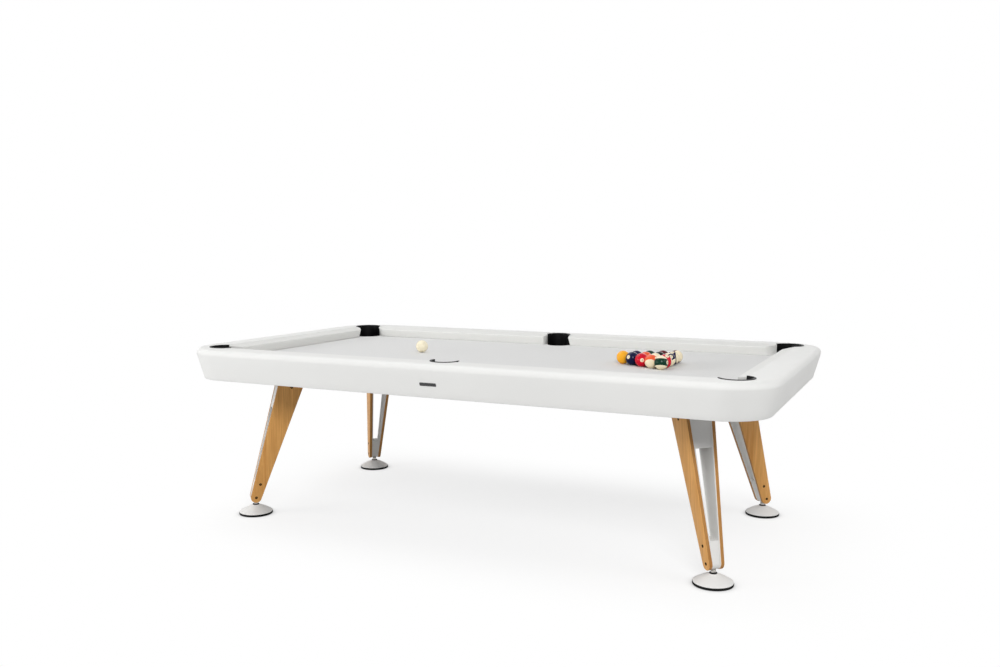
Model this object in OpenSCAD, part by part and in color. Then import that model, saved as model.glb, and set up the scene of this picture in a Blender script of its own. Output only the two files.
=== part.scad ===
/* [Playing field] */
// Length of the playing field from cushion nose to cushion nose
field_l = 2240; // [1900:5:2600]
// Width of the playing field from cushion nose to cushion nose
field_w = 1120; // [900:5:1300]
// Height of the rail top above the floor
table_h = 774; // [740:1:820]
// Drop from the rail top to the cloth
bed_drop = 51.5; // [48:0.5:56]

/* [Apron shell] */
// Width of a rail from the cushion nose to the widest line of the apron
rail_w = 163; // [150:1:185]
// Height of the apron shell
apron_h = 136; // [125:1:160]
// Inward slant of the apron wall from the vertical, in degrees
apron_slant = 15.5; // [8:0.5:20]
// Radius that rolls the rail top over into the apron wall
edge_r = 22; // [12:1:28]
// Plan radius of the apron corners at the widest line
corner_r = 205; // [190:1:235]
// Thickness of the apron sheet
sheet_t = 4; // [2:0.5:6]
// Width of the lip turned in along the apron's lower edge
lip_w = 16; // [10:1:30]

/* [Bed] */
// Thickness of the slate
slate_t = 25; // [19:1:30]
// Reach of the slate outside the cushion noses
slate_out = 104; // [98:1:108]
// Number of slate slabs along the table
slab_count = 3; // [3]
// Thickness of the bed cloth
cloth_t = 1; // [0.8:0.1:1.5]
// Reach of the bed cloth outside the cushion noses
cloth_out = 68; // [60:1:70]

/* [Cushions and rails] */
// Width of a cushion from its nose to its back
cushion_w = 50; // [44:1:54]
// Height of the cushion nose above the cloth
nose_h = 37.5; // [34:0.1:39]
// Depth of the cushion's foot where it meets the bed
cushion_foot = 36; // [30:1:42]
// Radius of the cushion nose
nose_r = 4.5; // [3:0.5:6]
// Mouth of a corner pocket between the two cushion noses
corner_mouth = 117; // [112:1:124]
// Mouth of a side pocket between the two cushion noses
side_mouth = 136; // [130:1:144]
// Angle inside the cushion between nose line and facing at a corner pocket, in degrees
corner_facing = 140; // [136:1:146]
// Angle inside the cushion between nose line and facing at a side pocket, in degrees
side_facing = 102; // [98:1:104]
// Lean of a facing away from its pocket, from the nose down to the bed, in degrees
facing_draft = 12; // [0:1:15]
// Width of the rail timber behind a cushion
rail_base_w = 60; // [50:1:64]
// Diameter of a rail bolt
rail_bolt_d = 10; // [8:1:12]

/* [Pockets] */
// Distance of a corner pocket's centre outside both nose lines
corner_out = 17; // [12:1:26]
// Distance of a side pocket's centre outside the nose line
side_out = 38; // [34:1:44]
// Inner radius of a corner pocket
corner_pocket_r = 58; // [55:0.5:62]
// Inner radius of a side pocket
side_pocket_r = 51.5; // [49:0.5:55]
// Wall thickness of the moulded pocket
pocket_wall = 4; // [3:0.5:6]
// Overhang of the pocket rim on the rail top
rim_w = 4; // [2:0.5:6]
// Height of the pocket rim above the rail top
rim_h = 2.5; // [1:0.5:6]
// Part of a turn that a corner pocket's back wall covers above the bed, in degrees
corner_arc = 222; // [200:2:226]
// Part of a turn that a side pocket's back wall covers above the bed, in degrees
side_arc = 206; // [190:2:216]
// Depth of the pocket cup below the cloth
cup_depth = 82; // [75:1:90]

/* [Underframe] */
// Width of an underframe tube
beam_w = 80; // [60:1:90]
// Height of an underframe tube
beam_h = 50; // [40:1:54]
// Wall of an underframe tube
beam_t = 4; // [3:0.5:6]
// Overhang of the long tubes past the leg flanges
beam_over = 70; // [20:5:90]

/* [Legs] */
// Distance of a foot's axis from the table's middle along the length
foot_x = 1053; // [950:5:1150]
// Distance of a foot's axis from the table's middle along the width
foot_y = 494; // [400:5:560]
// Height of the centre of the leg's round lower end
leg_end_z = 78.5; // [70:0.5:90]
// Radius of the leg's round lower end
leg_end_r = 24; // [20:0.5:28]
// Lean of the leg's outer edge from the vertical, in degrees
outer_lean = 14.2; // [12:0.1:16]
// Lean of the leg's inner edge from the vertical, in degrees
inner_lean = 20.8; // [18:0.1:23]
// Lean of each leg panel away from its twin, in degrees
splay = 3.2; // [2:0.1:4]
// Width over both leg panels at the round lower end
leg_end_w = 63.5; // [58:0.5:72]
// Thickness of a wooden leg panel
panel_t = 14; // [12:0.5:16]
// Thickness of the steel lining behind a leg panel
lining_t = 4; // [3:0.5:5]
// Height of the steel block between the linings
block_h = 101; // [85:1:120]
// Reach of the corner plate down from the leg's top
plate_drop = 154; // [120:1:200]
// Thickness of the leg's bolting flange
flange_t = 6; // [5:0.5:10]
// Diameter of a leg bolt
leg_bolt_d = 12; // [10:1:14]
// Diameter of a panel screw's shank
screw_d = 6; // [5:0.5:7]
// Distance between the two lower panel screws along the leg
screw_step = 64; // [50:1:75]
// Drop of the upper panel screw below the leg's flange
top_screw_drop = 56; // [45:0.5:90]
// Distance of the upper panel screw from the leg's middle line, towards the table's middle
top_screw_in = 6; // [0:0.5:10]

/* [Levelling feet] */
// Diameter of a foot
foot_d = 150; // [120:1:170]
// Height of the rubber pad under a foot
pad_h = 9.5; // [5:0.5:12]
// Height of the foot's shallow cone above the pad
cone_h = 31.5; // [28:0.5:36]
// Swell of the cone's side over a straight slope
cone_swell = 2; // [0.5:0.5:3]
// Diameter of the levelling stud
stud_d = 20; // [16:1:20]
// Height of the stud's top above the floor
stud_top = 100; // [92:1:104]

/* [Balls] */
// Diameter of a ball
ball_d = 57.15; // [54:0.05:58]
// Gap between racked balls
ball_gap = 0.3; // [0.2:0.1:0.6]
// Distance of the cue ball from the table's middle, towards the head end
cue_x = 453; // [300:1:600]
// Distance of the front racked ball from the table's middle, towards the foot end
rack_x = 540; // [480:1:600]

/* [Hidden] */
$fn = 64;
eps = 1;
clear = 0.3;
fit_clear = 0.08;
far = 3000;
trim = 20;
seam = 0.02;
bend_steps = 10;
cone_steps = 6;

half_l = field_l / 2 + rail_w;
half_w = field_w / 2 + rail_w;
bend_x = half_l - corner_r;
bend_y = half_w - corner_r;
apron_z = table_h - apron_h;
bed_z = table_h - bed_drop;
slate_z = bed_z - cloth_t - slate_t;
beam_z = slate_z - beam_h;
flange_z = beam_z - flange_t;
sheet_z = table_h - sheet_t;

rail_in = cushion_w + clear;
slate_hx = field_l / 2 + slate_out;
slate_hy = field_w / 2 + slate_out;
slab_l = 2 * slate_hx / slab_count;
bolt_edge = 8;
bolt_out = cloth_out + rail_bolt_d / 2 + bolt_edge;
head_width = 0.9;
head_rise = 0.65;
rail_bolt_rise = 28;
rail_bolt_inset = 120;
tap_room = 4;

corner_x = field_l / 2 + corner_out;
corner_y = field_w / 2 + corner_out;
side_y = field_w / 2 + side_out;
pocket_gap = 0.5;
joint_out = 30;
side_joint = side_pocket_r + pocket_wall + joint_out;
cup_floor = 3;
fall_step = 3;
cushion_step = 0.5;

corner_nose = corner_mouth / sqrt(2);

function outer_u(z) = leg_end_r / cos(outer_lean) - (z - leg_end_z) * tan(outer_lean);
function inner_u(z) = -leg_end_r / cos(inner_lean) - (z - leg_end_z) * tan(inner_lean);
function middle_u(z) = (outer_u(z) + inner_u(z)) / 2;
function face_v(z) = leg_end_w / 2 + (z - leg_end_z) * tan(splay);
function lining_v(z) = face_v(z) - (panel_t + lining_t) / cos(splay);

leg_shift = middle_u(flange_z) / sqrt(2);
leg_x = foot_x + leg_shift;
leg_y = foot_y + leg_shift;
leg_top_z = flange_z - clear;
top_screw_z = flange_z - top_screw_drop;
leg_bolt_edge = 23;
leg_bolt_out = face_v(flange_z) * sqrt(2) + leg_bolt_edge;
flange_edge = 18;
block_inset = 3;
block_rise = 6;
block_z = leg_end_z - leg_end_r + block_rise;
lining_inset = 1;
block_top = block_z + block_h;
stud_room = 12;
screw_head_r = 0.8 * screw_d;
screw_head_h = 1.2;
cone_z = pad_h + cone_h;
cone_rim_r = foot_d / 2 - 1;
cone_rim_h = 3;
cone_top_r = stud_d / 2 + 5;
pad_edge = 1.5;
socket_floor = 6;
stud_seat = pad_h + socket_floor;
flat_w = 0.85 * stud_d;
flat_h = 9;
flat_gap = 2;

legs = [["fl", -1, -1], ["fr", 1, -1], ["bl", -1, 1], ["br", 1, 1]];
side_names = ["left", "right"];
cross_x = [-leg_x, -slab_l / 2, slab_l / 2, leg_x];

// Upright hole or post at every corner and side pocket
module at_pockets() {
    for (sy = [-1, 1]) {
        for (sx = [-1, 1])
            translate([sx * corner_x, sy * corner_y, 0]) rotate(atan2(sy, sx)) children(0);
        translate([0, sy * side_y, 0]) rotate(sy * 90) children(1);
    }
}

module pocket_holes(gap) {
    at_pockets() {
        translate([0, 0, -far]) cylinder(r = corner_pocket_r + pocket_wall + gap, h = 2 * far);
        translate([0, 0, -far]) cylinder(r = side_pocket_r + pocket_wall + gap, h = 2 * far);
    }
}

// Pocket hole that runs out through the slab's edge, as slate is notched
module notch(r) {
    half = 0.8 * r;
    reach = 4 * r;
    translate([0, 0, -far]) cylinder(r = r, h = 2 * far);
    translate([0, -half, -far]) cube([reach, 2 * half, 2 * far]);
}

module pocket_notches() {
    at_pockets() {
        notch(corner_pocket_r + pocket_wall + pocket_gap);
        notch(side_pocket_r + pocket_wall + pocket_gap);
    }
}

// The apron's section, measured outwards from the axis of its corner bend: bend, wall and lip
module apron_section() {
    bend = [corner_r - edge_r, table_h - edge_r];
    turn = 90 + apron_slant;
    function round_over(r) =
        [for (i = [0:bend_steps]) bend + r * [sin(turn * i / bend_steps), cos(turn * i / bend_steps)]];
    outer = round_over(edge_r);
    inside = round_over(edge_r - sheet_t);
    foot_q = outer[bend_steps].x - (outer[bend_steps].y - apron_z) * tan(apron_slant);
    polygon(concat(outer, [
        [foot_q, apron_z],
        [foot_q - lip_w, apron_z],
        [foot_q - lip_w, apron_z + sheet_t],
        [foot_q + sheet_t * tan(apron_slant) - sheet_t / cos(apron_slant), apron_z + sheet_t]
    ], [for (i = [bend_steps:-1:0]) inside[i]]));
}

// A straight stretch of the apron with the same section as its corners
module apron_side(across, along) {
    translate([-along, across, 0]) rotate([90, 0, 90]) linear_extrude(2 * along) children();
}

// A section carried all round the table
module apron_ring() {
    for (turn = [0, 180]) rotate(turn) {
        apron_side(bend_y, bend_x) children();
        rotate(90) apron_side(bend_x, bend_y) children();
        translate([bend_x, bend_y, 0]) rotate_extrude(angle = 90) children();
        translate([-bend_x, bend_y, 0]) rotate(90) rotate_extrude(angle = 90) children();
    }
}

// Upright joint across the rails, at one distance from the table's middle
module joint_across(x) {
    for (sx = [-1, 1]) translate([sx * x - clear / 2, -far, apron_z - eps])
        cube([clear, 2 * far, apron_h + 2 * eps]);
}

// Joints of the apron and the rail top at both ends of every corner bend
module corner_joints() {
    joint_across(bend_x);
    rotate(90) joint_across(bend_y);
}

// Four straight lengths and four corners
module apron_shell() color("white") difference() {
    apron_ring() apron_section();
    corner_joints();
    pocket_holes(pocket_gap);
}

// Flat top of the rails in twelve lengths that meet the apron where its bend starts
module rail_top() color("white") difference() {
    inner = corner_r - rail_w + cushion_w - trim;
    apron_ring() translate([inner, sheet_z]) square([corner_r - edge_r - inner, sheet_t]);
    translate([-field_l / 2 - cushion_w, -field_w / 2 - cushion_w, sheet_z - eps])
        cube([field_l + 2 * cushion_w, field_w + 2 * cushion_w, sheet_t + 2 * eps]);
    corner_joints();
    joint_across(side_joint);
    pocket_holes(pocket_gap);
}

module bed_cloth() color("whitesmoke") difference() {
    translate([-field_l / 2 - cloth_out, -field_w / 2 - cloth_out, bed_z - cloth_t])
        cube([field_l + 2 * cloth_out, field_w + 2 * cloth_out, cloth_t]);
    pocket_notches();
}

// One slab of the bed, counted from the left end
module slate(slab) color("dimgray") difference() {
    translate([-slate_hx + slab * slab_l, -slate_hy, slate_z]) cube([slab_l, 2 * slate_hy, slate_t]);
    pocket_notches();
    rail_bolt_places() translate([0, 0, slate_z - eps])
        cylinder(d = rail_bolt_d + 2 * clear, h = slate_t + 2 * eps);
}

// Cushion section: top that falls to a round nose, undercut face and a foot on the bed
module cushion_section() {
    nose = [nose_r, bed_z + nose_h];
    back = [cushion_w, table_h - cushion_step];
    foot = [cushion_w - cushion_foot, bed_z + clear];
    fall = atan2(back.y - nose.y - nose_r, back.x - nose.x);
    under = atan2(nose.y - foot.y, foot.x);
    join = nose_r - seam;
    translate(nose) circle(nose_r);
    polygon([
        [back.x, foot.y],
        back,
        nose + join * [-sin(fall), cos(fall)],
        nose,
        nose + join * [-sin(under), -cos(under)],
        foot
    ]);
}

// Straight run of a section whose first axis points away from the field
module rail_run(length) {
    translate([-length / 2, 0, 0]) rotate([90, 0, 90]) linear_extrude(length) children();
}

// Plan of a long cushion, from the side pocket's facing to the corner pocket's facing
// Space on the pocket's side of a facing that starts at one place along the nose line
module facing_cut(at, angle, side) {
    translate([at, 0, bed_z + nose_h]) rotate(angle) rotate([side * facing_draft, 0, 0])
        translate([-far, side > 0 ? -far : 0, -far]) cube([2 * far, far, 2 * far]);
}

module long_cushion(sx, sy) color("white") difference() {
    mirror([0, sy < 0 ? 1 : 0, 0]) mirror([sx < 0 ? 1 : 0, 0, 0]) translate([0, field_w / 2, 0])
        difference() {
            rail_run(2 * field_l) cushion_section();
            facing_cut(field_l / 2 - corner_nose, 180 - corner_facing, 1);
            facing_cut(side_mouth / 2, side_facing, -1);
        }
    pocket_holes(pocket_gap);
}

module end_cushion(sx) color("white") difference() {
    rotate(-sx * 90) translate([0, field_l / 2, 0]) difference() {
        rail_run(2 * field_w) cushion_section();
        facing_cut(field_w / 2 - corner_nose, 180 - corner_facing, 1);
        facing_cut(corner_nose - field_w / 2, corner_facing, -1);
    }
    pocket_holes(pocket_gap);
}

// Places of the rail bolts, three to each rail
module rail_bolt_places() {
    for (sx = [-1, 1], sy = [-1, 1], step = [0:2])
        translate([sx * rail_bolt_x(step), sy * (field_w / 2 + bolt_out), 0]) children();
    for (sx = [-1, 1], step = [-1:1])
        translate([sx * (field_l / 2 + bolt_out), step * (field_w / 2 - rail_bolt_inset), 0]) children();
}

function rail_bolt_x(step) = rail_bolt_inset + step * (field_l / 2 - 2 * rail_bolt_inset) / 2;

module rail_bolt_holes() {
    rail_bolt_places() translate([0, 0, bed_z - eps])
        cylinder(d = rail_bolt_d + 2 * fit_clear, h = rail_bolt_rise + tap_room + eps);
}

module long_rail(sx, sy) color("burlywood") difference() {
    mirror([0, sy < 0 ? 1 : 0, 0]) mirror([sx < 0 ? 1 : 0, 0, 0])
        translate([side_pocket_r / 2, field_w / 2 + rail_in, bed_z])
            cube([corner_x - side_pocket_r / 2, rail_base_w, bed_drop - sheet_t]);
    pocket_holes(pocket_gap);
    rail_bolt_holes();
}

module end_rail(sx) color("burlywood") difference() {
    mirror([sx < 0 ? 1 : 0, 0, 0]) translate([field_l / 2 + rail_in, -corner_y, bed_z])
        cube([rail_base_w, 2 * corner_y, bed_drop - sheet_t]);
    pocket_holes(pocket_gap);
    rail_bolt_holes();
}

// Hexagon head that hangs from the seat of its bolt
module bolt_head(d) {
    translate([0, 0, -head_rise * d]) cylinder(r = head_width * d, h = head_rise * d, $fn = 6);
}

module rail_bolts() rail_bolt_places() {
    translate([0, 0, slate_z]) bolt_head(rail_bolt_d);
    translate([0, 0, slate_z - eps]) cylinder(d = rail_bolt_d, h = bed_z + rail_bolt_rise - slate_z + eps);
}

// Moulded pocket, its back wall centred on +X: a cup in the bed, a wall above it and a rim
module pocket(r, arc) color("black") difference() {
    outer = r + pocket_wall;
    rim_z = table_h + rim_h;
    cup_z = bed_z - cup_depth;
    round_over = rim_h / 3;
    reach = 3 * outer;
    side = reach * [cos(arc / 2), sin(arc / 2)];
    rotate_extrude() polygon([
        [0, cup_z],
        [outer, cup_z],
        [outer, table_h],
        [outer + rim_w, table_h],
        [outer + rim_w, rim_z - round_over],
        [outer + rim_w - round_over, rim_z],
        [r + round_over, rim_z],
        [r, rim_z - round_over],
        [r, cup_z + cup_floor],
        [0, cup_z + cup_floor]
    ]);
    translate([0, 0, bed_z - fall_step]) linear_extrude(far) polygon([
        [0, 0],
        side,
        [-reach, reach],
        [-reach, -reach],
        [side.x, -side.y]
    ]);
}

module corner_pocket(sx, sy) {
    translate([sx * corner_x, sy * corner_y, 0]) rotate(atan2(sy, sx)) pocket(corner_pocket_r, corner_arc);
}

module side_pocket(sy) {
    translate([0, sy * side_y, 0]) rotate(sy * 90) pocket(side_pocket_r, side_arc);
}

module beam(length) difference() {
    translate([-length / 2, -beam_w / 2, beam_z]) cube([length, beam_w, beam_h]);
    translate([-length / 2 - eps, -beam_w / 2 + beam_t, beam_z + beam_t])
        cube([length + 2 * eps, beam_w - 2 * beam_t, beam_h - 2 * beam_t]);
}

// Places of the bolts that hold a leg to the tubes, two under a long tube and one under a cross tube
module leg_bolt_places(sx, sy) {
    for (reach = [[-1, 0], [1, 0], [0, -sy]])
        translate([sx * leg_x, sy * leg_y, 0] + leg_bolt_out * [reach.x, reach.y, 0]) children();
}

module leg_bolt_holes(gap) {
    for (leg = legs) leg_bolt_places(leg[1], leg[2]) translate([0, 0, flange_z - eps])
        cylinder(d = leg_bolt_d + 2 * gap, h = flange_t + beam_t + 2 * eps);
}

module long_beam(sy) color("gainsboro") difference() {
    translate([0, sy * leg_y, 0]) beam(2 * (leg_x + leg_bolt_out + flange_edge + beam_over));
    leg_bolt_holes(clear);
}

module cross_beam(x) color("gainsboro") difference() {
    translate([x, 0, 0]) rotate(90) beam(2 * leg_y - beam_w);
    leg_bolt_holes(clear);
}

module leg_bolts() for (leg = legs) leg_bolt_places(leg[1], leg[2]) {
    translate([0, 0, flange_z]) bolt_head(leg_bolt_d);
    translate([0, 0, flange_z - eps]) cylinder(d = leg_bolt_d, h = flange_t + beam_t + eps);
}

module bolts() color("gray") {
    rail_bolts();
    leg_bolts();
}

// Frame of a leg: its foot's axis at the origin, +X towards the table's corner
module at_leg(sx, sy) {
    translate([sx * foot_x, sy * foot_y, 0]) rotate(atan2(sy, sx)) children();
}

// Plane of a leg panel's outer face, with the extrusion going in towards the twin panel
module on_panel(side) {
    mirror([0, side < 0 ? 1 : 0, 0]) translate([0, leg_end_w / 2, leg_end_z])
        rotate([-splay, 0, 0]) rotate([90, 0, 0]) children();
}

// Tapered leg outline about the centre of its round lower end
module leg_outline(inset) {
    r = leg_end_r - inset;
    reach = 1.2 * table_h;
    outer = (r - seam) * [cos(outer_lean), sin(outer_lean)];
    inner = (r - seam) * [-cos(inner_lean), -sin(inner_lean)];
    circle(r);
    polygon([
        outer,
        outer + reach * [-sin(outer_lean), cos(outer_lean)],
        inner + reach * [-sin(inner_lean), cos(inner_lean)],
        inner
    ]);
}

module above(z) translate([-far, -far, z]) cube([2 * far, 2 * far, far]);

// Places of one panel's screws in its own plane: two on the leg's middle line and one set in near the top
module panel_screw_places() {
    lean = (outer_lean + inner_lean) / 2;
    top_run = (top_screw_z - leg_end_z) / cos(lean);
    for (place = [[0, 0], [screw_step, 0], [top_run, top_screw_in]])
        translate([-place.x * sin(lean) - place.y, place.x * cos(lean), 0]) children();
}

module leg_panel(sx, sy, side) color("peru") difference() {
    at_leg(sx, sy) on_panel(side) difference() {
        linear_extrude(panel_t) leg_outline(0);
        panel_screw_places() translate([0, 0, -eps])
            cylinder(d = screw_d + 2 * clear, h = panel_t + 2 * eps);
    }
    above(leg_top_z);
}

module panel_screws() color("black") for (leg = legs, side = [-1, 1])
    at_leg(leg[1], leg[2]) on_panel(side) panel_screw_places() {
        translate([0, 0, -screw_head_h]) cylinder(r = screw_head_r, h = screw_head_h);
        translate([0, 0, -screw_head_h]) cylinder(d = screw_d, h = screw_head_h + panel_t + lining_t);
    }

// Space between the two linings from one height to another, grown into them so that they join
module between_linings(from, to) {
    weld = lining_t / 2;
    rotate([90, 0, 90]) translate([0, 0, -far]) linear_extrude(2 * far) polygon([
        [-lining_v(from) - weld, from],
        [lining_v(from) + weld, from],
        [lining_v(to) + weld, to],
        [-lining_v(to) - weld, to]
    ]);
}

// Side view of a piece of the leg frame, swept across the leg and cut to fit between the linings
module leg_filler(from, to) intersection() {
    translate([0, far, 0]) rotate([90, 0, 0]) linear_extrude(2 * far) children();
    between_linings(from, to);
}

module leg_lining(side) difference() {
    on_panel(side) translate([0, 0, panel_t]) linear_extrude(lining_t) leg_outline(lining_inset);
    above(flange_z + flange_t / 2);
}

module leg_flange(sx, sy) {
    reach = leg_bolt_out + flange_edge;
    back = leg_bolt_out - beam_w / 4;
    translate([sx * leg_x - reach, sy * leg_y - (sy > 0 ? reach : back), flange_z])
        cube([2 * reach, reach + back, flange_t]);
}

module leg_frame(sx, sy) color("white") difference() {
    plate_z = flange_z - plate_drop;
    plate_side = block_inset / cos(outer_lean);
    plate_t = lining_t / cos(outer_lean);
    union() {
        at_leg(sx, sy) {
            leg_lining(-1);
            leg_lining(1);
            leg_filler(block_z, block_top) translate([0, leg_end_z]) leg_outline(block_inset);
            leg_filler(plate_z, flange_z + flange_t / 2) polygon([
                [outer_u(plate_z) - plate_side, plate_z],
                [outer_u(table_h) - plate_side, table_h],
                [outer_u(table_h) - plate_side - plate_t, table_h],
                [outer_u(plate_z) - plate_side - plate_t, plate_z]
            ]);
        }
        leg_flange(sx, sy);
    }
    leg_bolt_holes(clear);
    at_leg(sx, sy) {
        translate([0, 0, block_z - eps])
            cylinder(d = stud_d + 2 * fit_clear, h = stud_top + stud_room - block_z + eps);
        for (side = [-1, 1]) on_panel(side) panel_screw_places()
            cylinder(d = screw_d + 2 * fit_clear, h = panel_t + lining_t + clear);
    }
}

// White shallow cone with swelling sides and a socket for the stud
module foot(sx, sy) color("white") at_leg(sx, sy) rotate_extrude() {
    bore_r = stud_d / 2 + fit_clear;
    slope_h = cone_h - cone_rim_h;
    side = [for (i = [0:cone_steps]) let (t = i / cone_steps) [
        cone_rim_r + (cone_top_r - cone_rim_r) * t,
        pad_h + cone_rim_h + slope_h * t + cone_swell * sin(180 * t)
    ]];
    polygon(concat(
        [[0, pad_h], [cone_rim_r, pad_h]],
        side,
        [[bore_r, cone_z], [bore_r, stud_seat], [0, stud_seat]]
    ));
}

module foot_pad(sx, sy) color("black") at_leg(sx, sy) rotate_extrude() polygon([
    [0, 0],
    [foot_d / 2 - pad_edge, 0],
    [foot_d / 2, pad_edge],
    [foot_d / 2, pad_h],
    [0, pad_h]
]);

// Levelling stud with two spanner flats between foot and leg
module stud(sx, sy) color("silver") at_leg(sx, sy) difference() {
    translate([0, 0, stud_seat + clear]) cylinder(d = stud_d, h = stud_top - stud_seat - clear);
    for (side = [-1, 1]) translate([side * (flat_w / 2 + stud_d / 2), 0, cone_z + flat_gap + flat_h / 2])
        cube([stud_d, 2 * stud_d, flat_h], center = true);
}

module ball_at(x, y) translate([x, y, bed_z + clear + ball_d / 2]) sphere(d = ball_d);

module cue_ball() color("ivory") ball_at(-cue_x, 0);

// Fifteen balls in a triangle that points to the head end
module object_balls() color("firebrick") {
    step = ball_d + ball_gap;
    for (row = [0:4], place = [0:row])
        ball_at(rack_x + row * step * sin(60), (place - row / 2) * step);
}

apron_shell();
rail_top();
bed_cloth();
slate(0);  // slate_left
slate(1);  // slate_middle
slate(2);  // slate_right
long_cushion(-1, -1);  // cushion_front_left
long_cushion(1, -1);  // cushion_front_right
long_cushion(-1, 1);  // cushion_back_left
long_cushion(1, 1);  // cushion_back_right
end_cushion(-1);  // cushion_left_end
end_cushion(1);  // cushion_right_end
long_rail(-1, -1);  // rail_front_left
long_rail(1, -1);  // rail_front_right
long_rail(-1, 1);  // rail_back_left
long_rail(1, 1);  // rail_back_right
end_rail(-1);  // rail_left_end
end_rail(1);  // rail_right_end
corner_pocket(-1, -1);  // pocket_front_left
side_pocket(-1);  // pocket_front_middle
corner_pocket(1, -1);  // pocket_front_right
corner_pocket(-1, 1);  // pocket_back_left
side_pocket(1);  // pocket_back_middle
corner_pocket(1, 1);  // pocket_back_right
long_beam(-1);  // long_beam_front
long_beam(1);  // long_beam_back
for (i = [0:3]) cross_beam(cross_x[i]);
for (leg = legs) leg_frame(leg[1], leg[2]);
for (leg = legs, side = [0, 1])
    leg_panel(leg[1], leg[2], 1 - 2 * side);
panel_screws();
bolts();
for (leg = legs) foot(leg[1], leg[2]);
for (leg = legs) foot_pad(leg[1], leg[2]);
for (leg = legs) stud(leg[1], leg[2]);
cue_ball();
object_balls();
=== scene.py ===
import math

import bmesh
import bpy
from mathutils import Matrix, Vector


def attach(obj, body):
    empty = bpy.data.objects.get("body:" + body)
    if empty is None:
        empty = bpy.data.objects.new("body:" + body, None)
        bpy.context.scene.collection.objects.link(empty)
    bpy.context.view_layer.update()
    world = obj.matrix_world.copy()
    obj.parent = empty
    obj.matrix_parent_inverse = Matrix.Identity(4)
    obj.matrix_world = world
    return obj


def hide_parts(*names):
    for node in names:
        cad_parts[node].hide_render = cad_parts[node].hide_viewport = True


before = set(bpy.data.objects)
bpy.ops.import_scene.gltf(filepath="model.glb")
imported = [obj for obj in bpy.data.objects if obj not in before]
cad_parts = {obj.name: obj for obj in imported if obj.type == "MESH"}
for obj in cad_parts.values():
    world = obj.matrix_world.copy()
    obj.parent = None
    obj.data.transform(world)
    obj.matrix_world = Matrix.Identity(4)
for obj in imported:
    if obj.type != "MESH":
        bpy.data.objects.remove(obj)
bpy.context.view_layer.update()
scene = bpy.context.scene

# Sizes in metres and angles in radians, from the same dimensions as the table's solids
# Apron and playing field, half lengths and widths counted from the table's middle
FIELD_X, FIELD_Y, RAIL_W = 1.120, 0.560, 0.163
HALF_L, HALF_W = FIELD_X + RAIL_W, FIELD_Y + RAIL_W
TOP_Z, BED_DROP, APRON_H = 0.774, 0.0515, 0.136
BED_Z, APRON_Z = TOP_Z - BED_DROP, TOP_Z - APRON_H
EDGE_R, CORNER_R, SHEET_T, LIP_W = 0.022, 0.205, 0.004, 0.016
APRON_SLANT = math.radians(15.5)
CLEAR = 0.0003

# Bed cloth and cushions
CLOTH_T, CLOTH_OUT = 0.001, 0.068
CUSHION_W, CUSHION_FOOT, NOSE_H, NOSE_R = 0.050, 0.036, 0.0375, 0.0045
CORNER_MOUTH, SIDE_MOUTH = 0.117, 0.136
CORNER_FACING, SIDE_FACING, FACING_DRAFT = math.radians(140), math.radians(102), math.radians(12)

# Pockets
CORNER_OUT, SIDE_OUT = 0.017, 0.038
CORNER_POCKET_R, SIDE_POCKET_R = 0.058, 0.0515
CORNER_ARC, SIDE_ARC = math.radians(222), math.radians(206)
POCKET_WALL, POCKET_GAP, RIM_W, RIM_H = 0.004, 0.0005, 0.004, 0.0025
CUP_DEPTH, CUP_FLOOR, FALL_STEP = 0.082, 0.003, 0.003

# Legs, up to the flange under slate and beam
SLATE_T, BEAM_H, FLANGE_T = 0.025, 0.050, 0.006
FLANGE_Z = BED_Z - CLOTH_T - SLATE_T - BEAM_H - FLANGE_T
FOOT_X, FOOT_Y = 1.053, 0.494
LEG_END_Z, LEG_END_R, LEG_END_W, LEG_TOP_Z = 0.0785, 0.024, 0.0635, FLANGE_Z - CLEAR
OUTER_LEAN, INNER_LEAN, SPLAY = math.radians(14.2), math.radians(20.8), math.radians(3.2)
PANEL_T = 0.014
SCREW_D, SCREW_SPACING, TOP_SCREW_DROP, TOP_SCREW_IN = 0.006, 0.064, 0.056, 0.006

# Levelling feet
FOOT_D, PAD_H, CONE_H, CONE_SWELL, CONE_RIM_H = 0.150, 0.0095, 0.0315, 0.002, 0.003
CONE_Z, CONE_RIM_R = PAD_H + CONE_H, FOOT_D / 2 - 0.001
STUD_D, STUD_TOP, SOCKET_FLOOR = 0.020, 0.100, 0.006
CONE_TOP_R, SOCKET_Z = STUD_D / 2 + 0.005, PAD_H + SOCKET_FLOOR
STUD_SEAT = SOCKET_Z + CLEAR
FLAT_W, FLAT_GAP, FLAT_H = 0.85 * STUD_D, 0.002, 0.009
FLAT_LOW, FLAT_HIGH = CONE_Z + FLAT_GAP, CONE_Z + FLAT_GAP + FLAT_H

# Balls
BALL_D, BALL_GAP, CUE_X, RACK_X = 0.05715, 0.0003, -0.453, 0.540
BALL_R, BALL_SPACING = BALL_D / 2, BALL_D + BALL_GAP
BALL_Z = BED_Z + CLEAR + BALL_R

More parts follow.
